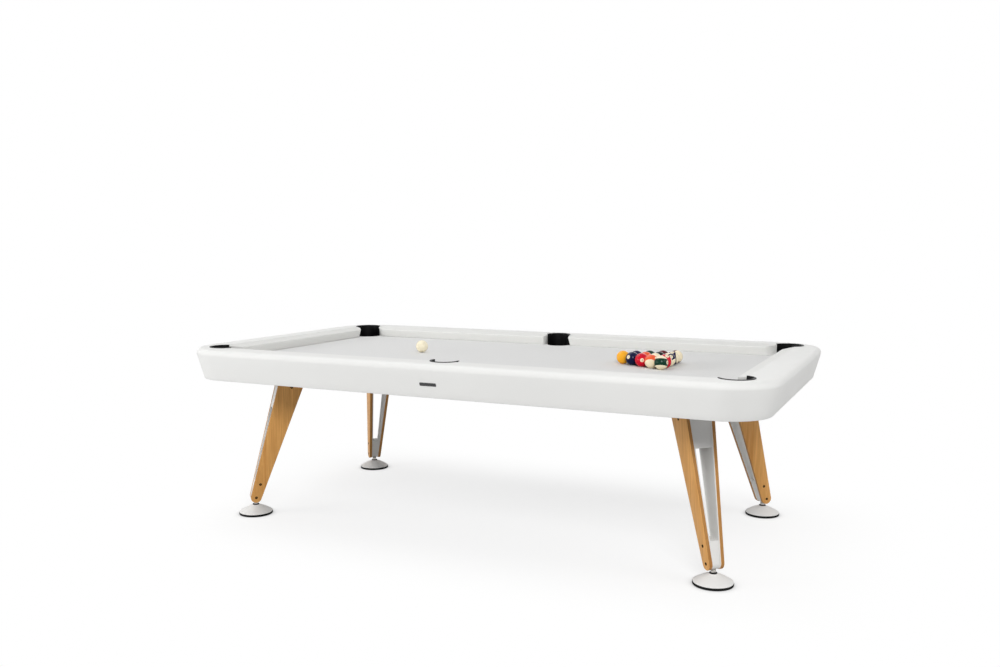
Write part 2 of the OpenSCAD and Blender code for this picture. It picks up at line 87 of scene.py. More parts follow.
# Sizes of the detail that only the scene has
HEM_R = 0.003
HEM_IN = 0.77 * HEM_R
STEEL_EDGE, PANEL_EDGE, CUSHION_EDGE = 0.0008, 0.0016, 0.0012
CUSHION_SINK, CUSHION_BACK_W, CUSHION_BACK_FALL = 0.0005, 0.0016, 0.9
RIM_EDGE, RIM_GAP, CUP_EDGE = 0.0006, 0.0001, 0.006
HEAD_R, HEAD_H, WASHER_H, SCREW_SINK = 0.8 * SCREW_D, 0.0015, 0.0005, 0.002
WASHER_R, HEX_R, HEX_FLOOR = HEAD_R + 0.0012, 0.0017, -0.0006
BORE_R, BUSH_R, BUSH_H, BUSH_GAP = STUD_D / 2 + 0.0001, 0.0146, 0.0036, 0.0002
STUD_R, STUD_CHAMFER, FLAT_EDGE = STUD_D / 2 - 0.0001, 0.001, 0.0001
THREAD_PITCH, THREAD_DEPTH, THREAD_START = 0.0025, 0.0013, FLAT_HIGH + 0.0006
BADGE_X, BADGE_Z = -0.0147, 0.6935
BADGE_HALF_W, BADGE_HALF_H, BADGE_R, BADGE_T = 0.0365, 0.0068, 0.003, 0.0016
NUMBER_FIELD_R, STRIPE_HALF = 0.0085, 0.5 * BALL_R
FIGURE_H, TWO_FIGURES_H, FIGURE_LIFT = 0.0105, 0.0090, 0.00006

# Signs of x and y at each leg and pocket
LEGS = {"fl": (-1, -1), "fr": (1, -1), "bl": (-1, 1), "br": (1, 1)}
POCKETS = {
    "front_left": (-1, -1), "front_middle": (0, -1), "front_right": (1, -1),
    "back_left": (-1, 1), "back_middle": (0, 1), "back_right": (1, 1),
}

# Steps round the curved shapes
CORNER_STEPS, EDGE_STEPS, OPENING_STEPS = 20, 14, 32
LINER_STEPS, MOUTH_STEPS = 64, 44
LEG_END_STEPS, SCREW_STEPS, BADGE_STEPS = 22, 24, 6
FOOT_STEPS, CONE_STEPS, BUSH_STEPS, STUD_STEPS, THREAD_STEPS = 128, 18, 64, 48, 8
BALL_STEPS, BALL_ROWS = 64, 40
QUARTER = [math.radians(degrees) for degrees in (0, 30, 60, 90)]
ALMOST_ZERO = 1e-6

# Points this close become one, within a mesh and between meshes that are joined
MERGE_DISTANCE, JOIN_DISTANCE = 1e-7, 1e-6


# Mesh helpers

def polar(r, angle, z):
    return r * math.cos(angle), r * math.sin(angle), z


def turns(steps):
    """Angles of equal steps round a full turn."""
    return [2 * math.pi * i / steps for i in range(steps)]


def arc(centre, r, start, end, steps):
    """Points along an arc, with both ends."""
    return [(centre[0] + r * math.cos(start + (end - start) * i / steps),
             centre[1] + r * math.sin(start + (end - start) * i / steps)) for i in range(steps + 1)]


def link(name, mesh, material, smooth_angle=40):
    """Adds a mesh as a piece with one material, smooth up to an angle."""
    for polygon in mesh.polygons:
        polygon.use_smooth = True
    mesh.set_sharp_from_angle(angle=math.radians(smooth_angle))
    mesh.materials.clear()
    mesh.materials.append(material)
    piece = bpy.data.objects.new(name, mesh)
    scene.collection.objects.link(piece)
    return piece


def mesh_of(name, points, faces):
    """Mesh with its double points merged and its faces turned outwards."""
    mesh = bpy.data.meshes.new(name)
    mesh.from_pydata([tuple(p) for p in points], [], faces)
    mesh.validate()
    bm = bmesh.new()
    bm.from_mesh(mesh)
    bmesh.ops.remove_doubles(bm, verts=bm.verts, dist=MERGE_DISTANCE)
    bmesh.ops.recalc_face_normals(bm, faces=bm.faces)
    bm.to_mesh(mesh)
    bm.free()
    return mesh


def skin(ring_count, count):
    """Faces between rings of equally many points, numbered ring by ring."""
    faces = []
    for low in range(0, (ring_count - 1) * count, count):
        high = low + count
        for i in range(count):
            j = (i + 1) % count
            faces.append((low + i, low + j, high + j, high + i))
    return faces


def strip(a, b):
    """Faces between two columns of points."""
    return [(a[k], b[k], b[k + 1], a[k + 1]) for k in range(len(a) - 1)]


def rings_mesh(name, rings, caps=True):
    """Skin over rings of equally many points, with flat ends."""
    count = len(rings[0])
    points = [p for ring in rings for p in ring]
    faces = skin(len(rings), count)
    if caps:
        faces.append(tuple(range(count)))
        faces.append(tuple(range(len(points) - count, len(points))))
    return mesh_of(name, points, faces)


def lathe_mesh(name, profile, steps):
    """Revolves a profile of (radius, height) that starts and ends on the axis."""
    points, faces, rows = [], [], []
    for r, z in profile:
        if r < ALMOST_ZERO:
            rows.append([len(points)] * steps)
            points.append((0, 0, z))
        else:
            rows.append(list(range(len(points), len(points) + steps)))
            points += [polar(r, angle, z) for angle in turns(steps)]
    for low, high in zip(rows, rows[1:]):
        for i in range(steps):
            j = (i + 1) % steps
            corners = [low[i], low[j], high[j], high[i]]
            face = [c for n, c in enumerate(corners) if c not in corners[:n]]
            if len(face) > 2:
                faces.append(tuple(face))
    return mesh_of(name, points, faces)


def ring_mesh(name, profile, steps):
    """Revolves a closed profile that stays clear of the axis."""
    rings = [[polar(r, angle, z) for r, z in profile] for angle in turns(steps)]
    return rings_mesh(name, rings + rings[:1], caps=False)


def filled(name, loops, z):
    """Flat face at one height with an outline and holes."""
    bm = bmesh.new()
    for loop in loops:
        verts = [bm.verts.new((x, y, z)) for x, y in loop]
        for a, b in zip(verts, verts[1:] + verts[:1]):
            bm.edges.new((a, b))
    bmesh.ops.triangle_fill(bm, use_beauty=True, use_dissolve=False, edges=bm.edges[:], normal=(0, 0, 1))
    mesh = bpy.data.meshes.new(name)
    bm.to_mesh(mesh)
    bm.free()
    return mesh


def joined(name, meshes):
    """One mesh of several, closed where they meet."""
    bm = bmesh.new()
    for mesh in meshes:
        bm.from_mesh(mesh)
    bmesh.ops.remove_doubles(bm, verts=bm.verts, dist=JOIN_DISTANCE)
    bmesh.ops.recalc_face_normals(bm, faces=bm.faces)
    out = bpy.data.meshes.new(name)
    bm.to_mesh(out)
    bm.free()
    return out


def evaluated_mesh(holder):
    """Final mesh of an object, which is then removed."""
    depsgraph = bpy.context.evaluated_depsgraph_get()
    mesh = bpy.data.meshes.new_from_object(holder.evaluated_get(depsgraph))
    bpy.data.objects.remove(holder)
    return mesh


def sheet_piece(name, mesh, thickness, material):
    """Gives an upper face its thickness, downwards."""
    blank = bpy.data.objects.new(name, mesh)
    scene.collection.objects.link(blank)
    solid = blank.modifiers.new("thickness", "SOLIDIFY")
    solid.thickness = thickness
    solid.offset = -1
    solid.use_even_offset = True
    return link(name, evaluated_mesh(blank), material)


def ease(piece, width, segments=2, angle=40):
    """Rounds the edges that are sharper than an angle."""
    bevel = piece.modifiers.new("eased edges", "BEVEL")
    bevel.width = width
    bevel.segments = segments
    bevel.limit_method = "ANGLE"
    bevel.angle_limit = math.radians(angle)


def place(piece, body, slot, *nodes):
    """Ties a piece to its body and hides the solids that it stands for; its slot is not used."""
    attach(piece, body)
    if nodes:
        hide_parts(*nodes)


# Materials

WHITE = (1, 1, 1, 1)


def linear(r, g, b):
    """Linear colour of an sRGB colour from 0 to 255."""
    def one(v):
        v /= 255
        return v / 12.92 if v <= 0.04045 else ((v + 0.055) / 1.055) ** 2.4
    return (one(r), one(g), one(b), 1)


def grey(value):
    return (value, value, value, 1)


def shade(colour, share):
    """Colour brought down to a share of its brightness."""
    return tuple(c * share for c in colour[:3]) + (1,)


class Nodes:
    """Short way to write the node tree of a material or a world."""

    def __init__(self, owner, shader="Principled BSDF", output="Material Output"):
        owner.use_nodes = True
        self.owner = owner
        self.tree = owner.node_tree
        self.shader = self.tree.nodes[shader]
        self.output = self.tree.nodes[output]

    def add(self, kind, **values):
        node = self.tree.nodes.new(kind)
        for key, value in values.items():
            if key in node.inputs:
                node.inputs[key].default_value = value
            else:
                setattr(node, key, value)
        return node

    def join(self, a, b):
        self.tree.links.new(a, b)

    def set(self, **values):
        for key, value in values.items():
            self.shader.inputs[key.replace("_", " ")].default_value = value

    def space(self, kind="Object"):
        return self.add("ShaderNodeTexCoord").outputs[kind]

    def coordinates(self, scale=(1, 1, 1)):
        mapping = self.add("ShaderNodeMapping", Scale=scale)
        self.join(self.space(), mapping.inputs["Vector"])
        return mapping.outputs["Vector"]

    def split(self, vector):
        """Outputs X, Y and Z of a vector."""
        node = self.add("ShaderNodeSeparateXYZ")
        self.join(vector, node.inputs[0])
        return node.outputs

    def noise(self, vector, scale, detail=3.0, roughness=0.55, distortion=0.0):
        node = self.add("ShaderNodeTexNoise", Scale=scale, Detail=detail, Roughness=roughness,
                        Distortion=distortion)
        self.join(vector, node.inputs["Vector"])
        return node.outputs["Fac"]

    def ramp(self, value, *stops):
        """Colour ramp over stops of (position, colour or grey level)."""
        node = self.add("ShaderNodeValToRGB")
        while len(node.color_ramp.elements) < len(stops):
            node.color_ramp.elements.new(0.5)
        for element, (position, colour) in zip(node.color_ramp.elements, stops):
            element.position = position
            element.color = colour if hasattr(colour, "__len__") else grey(colour)
        self.join(value, node.inputs["Fac"])
        return node.outputs["Color"]

    def math(self, operation, a, b=0.0):
        node = self.add("ShaderNodeMath", operation=operation)
        for socket, value in zip(node.inputs, (a, b)):
            if isinstance(value, (int, float)):
                socket.default_value = value
            else:
                self.join(value, socket)
        return node.outputs["Value"]

    def mix(self, factor, a, b):
        """Colour a, or b where the factor is 1."""
        node = self.add("ShaderNodeMix", data_type="RGBA")
        for socket, value in ((node.inputs[0], factor), (node.inputs[6], a), (node.inputs[7], b)):
            if hasattr(value, "is_output"):
                self.join(value, socket)
            else:
                socket.default_value = value
        return node.outputs[2]

    def blend(self, factor, a, b):
        """Shader a, or b where the factor is 1."""
        node = self.add("ShaderNodeMixShader")
        for socket, value in zip(node.inputs, (factor, a.outputs[0], b.outputs[0])):
            self.join(value, socket)
        return node

    def background_rays(self):
        """1 for rays from the camera, off gloss or through glass."""
        path = self.add("ShaderNodeLightPath").outputs
        return self.math("MAXIMUM", path["Is Camera Ray"],
                         self.math("MAXIMUM", path["Is Glossy Ray"], path["Is Transmission Ray"]))

    def bump(self, height, strength, distance):
        node = self.add("ShaderNodeBump", Strength=strength, Distance=distance)
        self.join(height, node.inputs["Height"])
        self.join(node.outputs["Normal"], self.shader.inputs["Normal"])

    def colour(self, socket):
        self.join(socket, self.shader.inputs["Base Color"])

    def roughness(self, socket):
        self.join(socket, self.shader.inputs["Roughness"])

    def surface(self, shader):
        self.join(shader.outputs[0], self.output.inputs["Surface"])


def material_nodes(name):
    return Nodes(bpy.data.materials.new(name))


def painted(name, colour, rough=0.55):
    """Powder coat: faint mottling, orange peel and uneven gloss."""
    n = material_nodes(name)
    at = n.coordinates()
    cloud = n.noise(at, scale=2.2, detail=4)
    n.colour(n.ramp(cloud, (0.25, shade(colour, 0.975)), (0.75, colour)))
    n.roughness(n.ramp(n.noise(at, scale=14), (0.3, rough - 0.05), (0.7, rough + 0.06)))
    n.bump(n.noise(at, scale=620, detail=2), strength=0.04, distance=0.0004)
    n.set(Specular_IOR_Level=0.25)
    return n.owner


def cloth(name, colour):
    """Worsted cloth: crossing threads, a short nap and a soft sheen."""
    thread, wave_at_scale_1 = 0.0011, 0.314
    n = material_nodes(name)
    at = n.coordinates()
    waves = []
    for direction in ("X", "Y"):
        wave = n.add("ShaderNodeTexWave", wave_type="BANDS", bands_direction=direction, wave_profile="SIN",
                     Scale=wave_at_scale_1 / thread, Distortion=1.2, Detail=1.0)
        n.join(at, wave.inputs["Vector"])
        waves.append(wave.outputs["Fac"])
    weave = n.math("MULTIPLY", n.math("ADD", waves[0], waves[1]), 0.5)
    nap = n.noise(at, scale=380, detail=4, roughness=0.65)
    patch = n.noise(at, scale=1.7)
    fleck = n.ramp(nap, (0.3, shade(colour, 0.93)), (0.7, colour))
    n.colour(n.mix(n.ramp(patch, (0.35, 0.0), (0.7, 0.5)), fleck, shade(colour, 0.97)))
    n.bump(n.math("ADD", weave, n.math("MULTIPLY", nap, 0.8)), strength=0.22, distance=0.0006)
    n.set(Roughness=0.92, Specular_IOR_Level=0.2, Sheen_Weight=0.25, Sheen_Roughness=0.5)
    return n.owner


def timber(name, light, dark, along="Y", edge=0.0):
    """Straight-grained board: grain along a local axis and, when edge is set, a painted shade on the board's
    edges (faces across local Z), mixed in by that share.
    """
    n = material_nodes(name)
    # Each board shows another length of the grain, by its place
    shift = n.add("ShaderNodeVectorMath", operation="SCALE", Scale=7.3)
    n.join(n.add("ShaderNodeObjectInfo").outputs["Location"], shift.inputs[0])
    moved = n.add("ShaderNodeVectorMath", operation="ADD")
    n.join(n.space(), moved.inputs[0])
    n.join(shift.outputs[0], moved.inputs[1])

    def grain(across, lengthwise, detail, roughness, distortion):
        scale = [lengthwise if axis == along else across for axis in "XYZ"]
        mapping = n.add("ShaderNodeMapping", Scale=scale)
        n.join(moved.outputs[0], mapping.inputs["Vector"])
        return n.noise(mapping.outputs["Vector"], 1, detail, roughness, distortion)

    broad = grain(across=26, lengthwise=1.6, detail=3, roughness=0.5, distortion=0.6)
    fine = grain(across=190, lengthwise=5, detail=4, roughness=0.6, distortion=0.25)
    pores = grain(across=760, lengthwise=22, detail=2, roughness=0.5, distortion=0)
    body = n.ramp(broad, (0.28, dark), (0.48, shade(light, 0.9)), (0.72, light))
    lines = n.mix(n.ramp(fine, (0.34, 0.55), (0.6, 0.0)), body, shade(dark, 0.82))
    board = n.mix(n.ramp(pores, (0.24, 0.45), (0.36, 0.0)), lines, shade(dark, 0.5))
    # Painted shade: faces across local Z, the board's edges, are mixed towards a dark brown by the share
    # edge
    if edge:
        facing = n.math("ABSOLUTE", n.split(n.space("Normal"))["Z"])
        board = n.mix(n.ramp(facing, (0.3, edge), (0.8, 0.0)), board, shade(dark, 0.42))
    n.colour(board)
    n.roughness(n.ramp(fine, (0.3, 0.52), (0.7, 0.40)))
    n.bump(n.math("ADD", fine, n.math("MULTIPLY", pores, 0.6)), strength=0.12, distance=0.0005)
    n.set(Specular_IOR_Level=0.35)
    return n.owner


def moulded(name, colour, rough=0.5, grain=900, gloss=0.4):
    """Moulded rubber or plastic with a fine grain and a little dust."""
    n = material_nodes(name)
    at = n.coordinates()
    dusty = tuple(c * 1.5 + 0.002 for c in colour[:3]) + (1,)
    n.colour(n.ramp(n.noise(at, scale=24, detail=4), (0.35, colour), (0.8, dusty)))
    n.roughness(n.ramp(n.noise(at, scale=60), (0.3, rough - 0.06), (0.7, rough + 0.1)))
    n.bump(n.noise(at, scale=grain, detail=2), strength=0.12, distance=0.0003)
    n.set(Specular_IOR_Level=gloss)
    return n.owner


def metal(name, colour, rough, stretch):
    """Turned or plated steel with fine tool marks."""
    n = material_nodes(name)
    marks = n.noise(n.coordinates(stretch), scale=1)
    n.colour(n.ramp(marks, (0.3, shade(colour, 0.82)), (0.7, colour)))
    n.roughness(n.ramp(marks, (0.3, rough - 0.06), (0.7, rough + 0.1)))
    n.bump(marks, strength=0.06, distance=0.0002)
    n.set(Metallic=1.0)
    return n.owner


def stone(name):
    """Honed slate with faint cleavage streaks."""
    n = material_nodes(name)
    streak = n.noise(n.coordinates((3, 14, 90)), scale=1, detail=6, roughness=0.6)
    speck = n.noise(n.coordinates(), scale=240, detail=4)
    base = n.ramp(streak, (0.3, (0.030, 0.033, 0.037, 1)), (0.7, (0.060, 0.064, 0.070, 1)))
    n.colour(n.mix(n.ramp(speck, (0.55, 0.0), (0.75, 0.4)), base, (0.09, 0.094, 0.1, 1)))
    n.bump(speck, strength=0.15, distance=0.0006)
    n.set(Roughness=0.72)
    return n.owner


def ball_finish(name, colour, striped=False, numbered=True):
    """Polished ball: a body colour, a band for a stripe and a round field for the number."""
    n = material_nodes(name)
    at = n.space()
    xyz = n.split(at)
    ivory = linear(246, 232, 200)
    cloud = n.ramp(n.noise(at, scale=60), (0.3, shade(ivory, 0.96)), (0.7, ivory))
    tint = n.ramp(n.noise(at, scale=60), (0.3, shade(colour, 0.93)), (0.7, colour))
    if striped:
        band = n.math("LESS_THAN", n.math("ABSOLUTE", xyz["Z"]), STRIPE_HALF)
        tint = n.mix(band, cloud, tint)
    if numbered:
        field_x = BALL_R * math.cos(NUMBER_FIELD_R / BALL_R)
        field = n.math("GREATER_THAN", n.math("ABSOLUTE", xyz["X"]), field_x)
        tint = n.mix(field, tint, cloud)
    n.colour(tint)
    n.set(Roughness=0.07, Specular_IOR_Level=0.14, Coat_Weight=0.05, Coat_Roughness=0.03)
    return n.owner


white_paint = painted("white powder coat", linear(233, 233, 231))
leg_paint = painted("leg powder coat", linear(233, 232, 229))
foot_paint = painted("foot powder coat", linear(243, 242, 240))
frame_paint = painted("underframe paint", linear(205, 205, 205), rough=0.45)
bed_cloth = cloth("bed cloth", linear(226, 226, 225))
cushion_cloth = cloth("cushion cloth", linear(234, 234, 231))
# Leg boards, with a painted shade on their edges
leg_wood = timber("leg wood", linear(236, 176, 100), linear(206, 140, 68), edge=0.6)
long_timber = timber("long rail timber", linear(200, 165, 120), linear(160, 120, 78), along="X")
end_timber = timber("end rail timber", linear(200, 165, 120), linear(160, 120, 78))
pocket_black = moulded("pocket plastic", (0.002, 0.002, 0.0022, 1), rough=0.45, gloss=0.08)
pad_black = moulded("pad rubber", (0.006, 0.006, 0.006, 1), rough=0.7, grain=600, gloss=0.12)
screw_black = moulded("black screw", (0.002, 0.0014, 0.001, 1), rough=0.6, gloss=0.03)
badge_black = moulded("badge plate", (0.035, 0.035, 0.036, 1), rough=0.35)
ink = moulded("ball figures", (0.012, 0.012, 0.012, 1), rough=0.3)
stud_steel = metal("turned steel", (0.52, 0.50, 0.47, 1), rough=0.26, stretch=(60, 60, 1400))
plated = metal("plated steel", (0.55, 0.55, 0.57, 1), rough=0.34, stretch=(200, 200, 200))
slate_stone = stone("honed slate")


# Solids that show as they are

def solid_material(name):
    if name.startswith("slate"):
        return slate_stone
    if name == "bolts":
        return plated
    if name.startswith("rail_") and name != "rail_top":
        return end_timber if name.endswith("end") else long_timber
    if "beam" in name:
        return frame_paint
    if name.startswith("leg_frame"):
        return leg_paint
    return None


for name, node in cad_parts.items():
    material = solid_material(name)
    if material:
        node.data.materials.clear()
        node.data.materials.append(material)
    if material in (frame_paint, leg_paint):
        ease(node, STEEL_EDGE)


# Apron

def apron_profile():
    """Section from the rail top round the roll, down the wall and in along the lip.

    Its distances count from the axis of a plan corner.
    """
    turn = math.pi / 2 + APRON_SLANT
    bend_x, bend_z = CORNER_R - EDGE_R, TOP_Z - EDGE_R
    roll = [(bend_x + EDGE_R * math.sin(turn * i / EDGE_STEPS),
             bend_z + EDGE_R * math.cos(turn * i / EDGE_STEPS)) for i in range(EDGE_STEPS + 1)]
    fall = math.tan(APRON_SLANT)
    foot = roll[-1][0] - (roll[-1][1] - APRON_Z) * fall
    wall_rows = (0.72, 0.69, 0.66)
    wall = [(foot + (z - APRON_Z) * fall, z) for z in wall_rows]
    hem_turns = [-APRON_SLANT] + [math.radians(degrees) for degrees in (-40, -65, -90)]
    hem = [(foot - HEM_IN + HEM_R * math.cos(a), APRON_Z + HEM_R + HEM_R * math.sin(a)) for a in hem_turns]
    return roll + wall + hem + [(foot - LIP_W, APRON_Z)]


def corner_stations(steps):
    """Corner axis and outward direction all round the table, anticlockwise."""
    x, y = HALF_L - CORNER_R, HALF_W - CORNER_R
    for n, (sx, sy) in enumerate(((1, 1), (-1, 1), (-1, -1), (1, -1))):
        for i in range(steps + 1):
            a = math.pi / 2 * (n + i / steps)
            yield sx * x, sy * y, math.cos(a), math.sin(a)


def pocket_place(sx, sy):
    """Centre and radius of a pocket, at a corner or in the middle of a long side."""
    if sx:
        return sx * (FIELD_X + CORNER_OUT), sy * (FIELD_Y + CORNER_OUT), CORNER_POCKET_R
    return 0, sy * (FIELD_Y + SIDE_OUT), SIDE_POCKET_R


def opening_outline(out, inward):
    """Rectangle outside the field, with the pockets' circles bulging out of it or biting into it."""
    hx, hy = FIELD_X + out, FIELD_Y + out
    outline = []
    for sx, sy in ((1, -1), (1, 1), (0, 1), (-1, 1), (-1, -1), (0, -1)):
        cx, cy, r = pocket_place(sx, sy)
        r += POCKET_WALL + POCKET_GAP
        dy = hy - abs(cy)
        half = math.sqrt(r * r - dy * dy)
        if sx:
            dx = hx - abs(cx)
            first = (cx + sx * dx, cy - sy * math.sqrt(r * r - dx * dx))
            last = (cx - sx * half, cy + sy * dy)
            if sx * sy < 0:
                first, last = last, first
        else:
            first, last = (sy * half, cy + sy * dy), (-sy * half, cy + sy * dy)
        a = math.atan2(first[1] - cy, first[0] - cx)
        b = math.atan2(last[1] - cy, last[0] - cx)
        if inward:
            while b > a:
                b -= 2 * math.pi
        else:
            while b < a:
                b += 2 * math.pi
        outline += arc((cx, cy), r, a, b, OPENING_STEPS)
    return outline


stations = list(corner_stations(CORNER_STEPS))
rings = [[(cx + q * nx, cy + q * ny, z) for cx, cy, nx, ny in stations] for q, z in apron_profile()]
wall_mesh = rings_mesh("apron wall", rings, caps=False)
plate_mesh = filled("rail top", [[p[:2] for p in rings[0]], opening_outline(CUSHION_W, False)], TOP_Z)
apron = sheet_piece("apron", joined("apron", [wall_mesh, plate_mesh]), SHEET_T, white_paint)
place(apron, "table", "white_shell", "apron_shell", "rail_top")


# Bed cloth and cushions


cloth_outline = opening_outline(CLOTH_OUT, True)
bed = sheet_piece("bed_cloth_sheet", filled("bed cloth", [cloth_outline], BED_Z), CLOTH_T, bed_cloth)
place(bed, "table", "bed_cloth", "bed_cloth")

# Distances from a cushion's nose line: close together over the nose and at the back edge
NOSE_ROWS = [0, 0.0002, 0.0008, 0.0018, 0.003, NOSE_R]
SLOPE_ROWS = [0.008, 0.011, 0.014, 0.017, 0.02, 0.023, 0.026, 0.029, 0.032, 0.035, 0.038, 0.041, 0.044]
BACK_ROWS = [0.0465, 0.0484, 0.0492, CUSHION_W]
# Shares of a cushion's run at which its section is drawn
RUN_SHARES = (0, 0.02, 0.5, 0.98, 1)


def cushion_heights(u):
    """Top and underside of a cushion at a distance from its nose line."""
    low = BED_Z + CLEAR
    nose = BED_Z + NOSE_H
    back = TOP_Z - CUSHION_SINK
    fall = math.atan2(back - nose - NOSE_R, CUSHION_W - NOSE_R)
    foot = CUSHION_W - CUSHION_FOOT
    under = math.atan2(nose - low, foot)
    round_part = math.sqrt(max(0, NOSE_R ** 2 - (NOSE_R - u) ** 2)) if u < NOSE_R else NOSE_R
    top_touch = NOSE_R * (1 - math.sin(fall))
    low_touch = NOSE_R * (1 - math.sin(under))
    high = nose + round_part
    if u > top_touch:
        start = nose + NOSE_R * math.cos(fall)
        high = start + (back - start) * (u - top_touch) / (CUSHION_W - top_touch)
    bottom = nose - round_part
    if u > low_touch:
        start = nose - NOSE_R * math.cos(under)
        bottom = max(low, start + (low - start) * (u - low_touch) / (foot - low_touch))
    past = max(0, u - (CUSHION_W - CUSHION_BACK_W))
    return high - CUSHION_BACK_FALL * past ** 2 / CUSHION_BACK_W, bottom


def facing_lean(z):
    """How far a facing has leaned in at a height, from the nose line down."""
    return (BED_Z + NOSE_H - z) * math.tan(FACING_DRAFT)


def corner_end(u, z, half):
    """Where a cushion ends at a corner pocket, along its run."""
    turn = math.pi - CORNER_FACING
    facing = half - CORNER_MOUTH / math.sqrt(2) + (u * math.cos(turn) - facing_lean(z)) / math.sin(turn)
    r = CORNER_POCKET_R + POCKET_WALL + POCKET_GAP
    return min(facing, half + CORNER_OUT - math.sqrt(r * r - (u - CORNER_OUT) ** 2))


def side_end(u, z):
    """Where a long cushion ends at a side pocket."""
    facing = SIDE_MOUTH / 2 + (u * math.cos(SIDE_FACING) + facing_lean(z)) / math.sin(SIDE_FACING)
    r = SIDE_POCKET_R + POCKET_WALL + POCKET_GAP
    return max(facing, math.sqrt(r * r - (u - SIDE_OUT) ** 2))


def cushion_mesh(name, to_world, ends):
    """Cushion between two ends, each a function of the distance from the nose line and the height."""
    rows = NOSE_ROWS + SLOPE_ROWS + BACK_ROWS
    rings = []
    for share in RUN_SHARES:
        upper, lower = [], []
        for u in rows:
            for line, z in zip((upper, lower), cushion_heights(u)):
                a, b = ends(u, z)
                line.append(to_world(a + (b - a) * share, u, z))
        rings.append(upper + lower[::-1])
    count = len(rings[0])
    points = [p for ring in rings for p in ring]
    faces = skin(len(rings), count)
    for first in (0, len(points) - count):
        last = first + count - 1
        faces += [(first + i, first + i + 1, last - 1 - i, last - i) for i in range(len(rows) - 1)]
    return mesh_of(name, points, faces)


def add_cushion(suffix, to_world, ends):
    name = "cushion_cover_" + suffix
    piece = link(name, cushion_mesh(name, to_world, ends), cushion_cloth, smooth_angle=50)
    ease(piece, CUSHION_EDGE, segments=3, angle=50)
    place(piece, "table", "cushion_cloth", "cushion_" + suffix)


for sy, row in ((-1, "front"), (1, "back")):
    for sx, side in ((-1, "left"), (1, "right")):
        add_cushion(row + "_" + side,
                    lambda s, u, z, sx=sx, sy=sy: (sx * s, sy * (FIELD_Y + u), z),
                    lambda u, z: (side_end(u, z), corner_end(u, z, FIELD_X)))
for sx, side in ((-1, "left"), (1, "right")):
    add_cushion(side + "_end",
                lambda s, u, z, sx=sx: (sx * (FIELD_X + u), s, z),
                lambda u, z: (-corner_end(u, z, FIELD_Y), corner_end(u, z, FIELD_Y)))

# Pockets

# Rounding inside a cup: in from its wall and up from its floor
CUP_HOLLOW = ((0.012, 0), (0.005, 0.002), (0.001, 0.007), (0, 0.013))


def pocket_mesh(name, r, liner):
    """Cup with a floor, and over part of the turn a wall with a round rim that sits on the rail top."""
    outer = r + POCKET_WALL
    cup_z, step_z = BED_Z - CUP_DEPTH, BED_Z - FALL_STEP
    floor = cup_z + CUP_FLOOR
    cup = [(outer, step_z), (outer, cup_z + CUP_EDGE), (outer - CUP_EDGE / 3, cup_z + CUP_EDGE / 3),
           (outer - CUP_EDGE, cup_z), (0, cup_z), (0, floor)]
    cup += [(r - inward, floor + up) for inward, up in CUP_HOLLOW] + [(r, step_z)]
    rim_r, edge_z = outer + RIM_W, TOP_Z + RIM_H - RIM_EDGE
    wall = [(r, step_z), (r, edge_z)]
    wall += [(r + RIM_EDGE - RIM_EDGE * math.cos(a), edge_z + RIM_EDGE * math.sin(a)) for a in QUARTER[1:]]
    wall += [(rim_r - RIM_EDGE + RIM_EDGE * math.sin(a), edge_z + RIM_EDGE * math.cos(a)) for a in QUARTER]
    wall += [(rim_r, TOP_Z + RIM_GAP), (outer, TOP_Z + RIM_GAP), (outer, step_z)]
    points, faces = [], []

    def column(profile, angle):
        start = len(points)
        points.extend(polar(at_r, angle, at_z) for at_r, at_z in profile)
        return list(range(start, len(points)))

    half, mouth = liner / 2, 2 * math.pi - liner
    liner_angles = [-half + liner * i / LINER_STEPS for i in range(LINER_STEPS + 1)]
    mouth_angles = [half + mouth * i / MOUTH_STEPS for i in range(MOUTH_STEPS)]
    low = [column(cup, angle) for angle in liner_angles[:-1] + mouth_angles]
    for i, (a, b) in enumerate(zip(low, low[1:] + low[:1])):
        faces += strip(a, b)
        if i >= LINER_STEPS:
            faces.append((a[-1], b[-1], b[0], a[0]))
    tall = [column(wall, angle) for angle in liner_angles]
    for a, b in zip(tall, tall[1:]):
        faces += strip(a, b)
    faces += [tuple(tall[0]), tuple(tall[-1])]
    return mesh_of(name, points, faces)


for suffix, (sx, sy) in POCKETS.items():
    cx, cy, r = pocket_place(sx, sy)
    name = "pocket_cup_" + suffix
    mesh = pocket_mesh(name, r, CORNER_ARC if sx else SIDE_ARC)
    piece = link(name, mesh, pocket_black, smooth_angle=45)
    piece.matrix_world = Matrix.Translation((cx, cy, 0)) @ Matrix.Rotation(math.atan2(sy, sx), 4, "Z")
    place(piece, "table", "pocket_black", "pocket_" + suffix)


# Legs

def leg_frame_of(sx, sy):
    """Axes of a leg: its foot's axis at the origin, +X towards the table's corner."""
    return Matrix.Translation((sx * FOOT_X, sy * FOOT_Y, 0)) @ Matrix.Rotation(math.atan2(sy, sx), 4, "Z")


def panel_frame(sx, sy, side):
    """Axes on a panel's outer face: X across, Y up the leg, Z out of the face or, on the twin, into it."""
    y_axis = Vector((0, side * math.sin(SPLAY), math.cos(SPLAY)))
    x_axis = Vector((1, 0, 0))
    z_axis = x_axis.cross(y_axis)
    local = Matrix((x_axis, y_axis, z_axis)).transposed().to_4x4()
    local.translation = (0, side * LEG_END_W / 2, LEG_END_Z)
    return leg_frame_of(sx, sy) @ local


